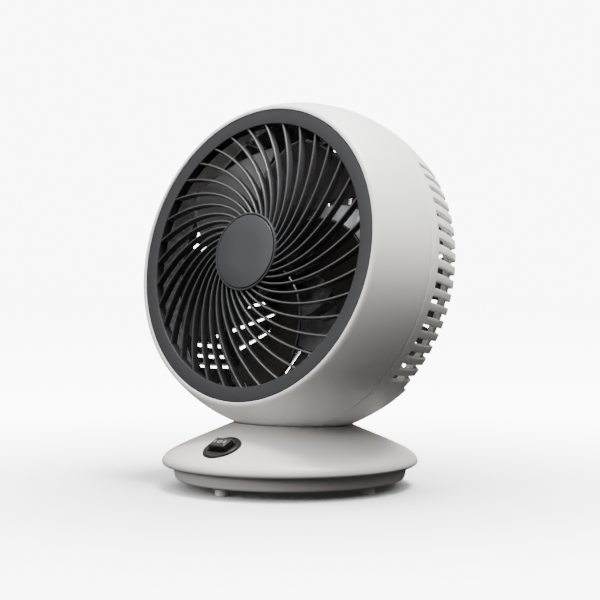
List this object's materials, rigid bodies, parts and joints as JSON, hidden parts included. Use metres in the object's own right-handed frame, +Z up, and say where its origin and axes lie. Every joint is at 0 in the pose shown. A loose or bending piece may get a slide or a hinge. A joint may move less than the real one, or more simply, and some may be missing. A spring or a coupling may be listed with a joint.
{
  "type": "desk fan",
  "caption": "Desk fan with a ball-shaped head that tilts in the neck of a round flared base, a swirl grille over the impeller, side vents and a round rocker switch.",
  "frame": {"origin": "centre of the base on the floor plane, under the four feet", "axes": "+Z up, the fan blows towards -Y and its switch is on that side, +X to the right seen from the front"},
  "size_m": [0.2016, 0.1552, 0.2325],
  "materials": {
    "shell_white": "satin warm white",
    "grille_dark": "satin dark grey",
    "blade_smoke": "smoked dark brown, satin",
    "switch_black": "gloss black",
    "clamp_black": "matt black",
    "foot_rubber": "matt light grey",
    "black_rubber": "matt black",
    "fastener_steel": "zinc plated",
    "motor_steel": "dark laminated steel",
    "cover_steel": "pressed sheet",
    "winding_copper": "enamelled copper wire",
    "terminal_brass": "plain brass"
  },
  "bodies": {
    "base": {"base_cover": "shell_white", "base_tray": "shell_white", "ballast_plate": "motor_steel", "foot_front": "foot_rubber", "foot_right": "foot_rubber", "foot_back": "foot_rubber", "foot_left": "foot_rubber", "tray_screw_1": "fastener_steel", "tray_screw_2": "fastener_steel", "tray_screw_3": "fastener_steel", "tray_screw_4": "fastener_steel", "cord_gland": "black_rubber", "neck_seat": "black_rubber", "tilt_saddle": "clamp_black", "tilt_bolt": "fastener_steel", "tilt_washer": "fastener_steel", "tilt_nut": "fastener_steel", "tilt_spring": "fastener_steel", "switch_housing": "switch_black", "switch_terminal_1": "terminal_brass", "switch_terminal_2": "terminal_brass", "switch_terminal_3": "terminal_brass"},
    "head": {"front_shell": "shell_white", "rear_shell": "shell_white", "front_grille": "grille_dark", "grille_badge": "grille_dark", "shell_screw_1": "fastener_steel", "shell_screw_2": "fastener_steel", "shell_screw_3": "fastener_steel", "shell_screw_4": "fastener_steel", "bracket_screw_1": "fastener_steel", "bracket_screw_2": "fastener_steel", "bracket_screw_3": "fastener_steel", "motor_screw_1": "fastener_steel", "motor_screw_2": "fastener_steel", "motor_screw_3": "fastener_steel", "motor_bolt_1": "fastener_steel", "motor_bolt_2": "fastener_steel", "bearing_front": "fastener_steel", "bearing_rear": "fastener_steel", "motor_bracket": "cover_steel", "motor_front_cover": "cover_steel", "motor_rear_cover": "cover_steel", "stator_core": "motor_steel", "winding_front": "winding_copper", "winding_rear": "winding_copper"},
    "impeller": {"impeller": "blade_smoke", "impeller_cap_nut": "switch_black", "motor_shaft": "fastener_steel", "rotor": "motor_steel"},
    "rocker": {"switch_rocker": "switch_black"}
  },
  "joints": [
    {"name": "head_tilt", "type": "hinge", "parent": "base", "child": "head", "pos_m": [0, 0.0067, 0.1319], "axis": [-1, 0, 0], "range_deg": [-11.6, 13.4]},
    {"name": "impeller_spin", "type": "hinge", "parent": "head", "child": "impeller", "pos_m": [0, 0.0067, 0.1319], "axis": [0, -0.9796, 0.2011], "continuous": true},
    {"name": "switch_rock", "type": "hinge", "parent": "base", "child": "rocker", "pos_m": [0, -0.05917, 0.02588], "axis": [0, 0.91, 0.4147], "range_deg": [-9, 9]}
  ]
}
